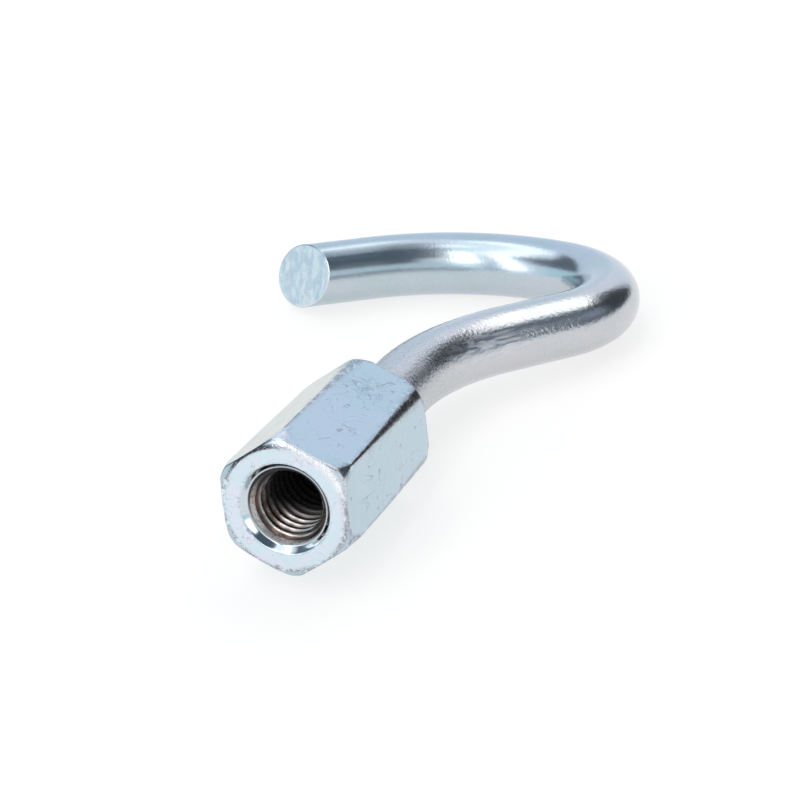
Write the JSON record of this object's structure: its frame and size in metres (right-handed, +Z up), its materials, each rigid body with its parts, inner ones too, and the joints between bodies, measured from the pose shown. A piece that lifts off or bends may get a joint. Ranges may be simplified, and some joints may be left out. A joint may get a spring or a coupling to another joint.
{
  "type": "screw hook",
  "caption": "Question-mark hook of round plated steel rod with an internally threaded hexagonal socket head, lying on its side.",
  "frame": {"origin": "centre of the socket mouth, on the thread axis, in the plane of the mouth face", "axes": "+Z up as the hook lies on a flat surface; +Y level, from the mouth toward the bend; +X toward the side the neck bends to. The thread axis dips about 4 degrees below +Y toward the bend, because the head is thicker than the rod"},
  "size_m": [0.058, 0.1014, 0.021],
  "materials": {
    "zinc_plate": "bright blue-passivated zinc plating on forged steel, satin, with fine scratches"
  },
  "bodies": {
    "root": {"screw_hook": "zinc_plate"}
  },
  "joints": []
}
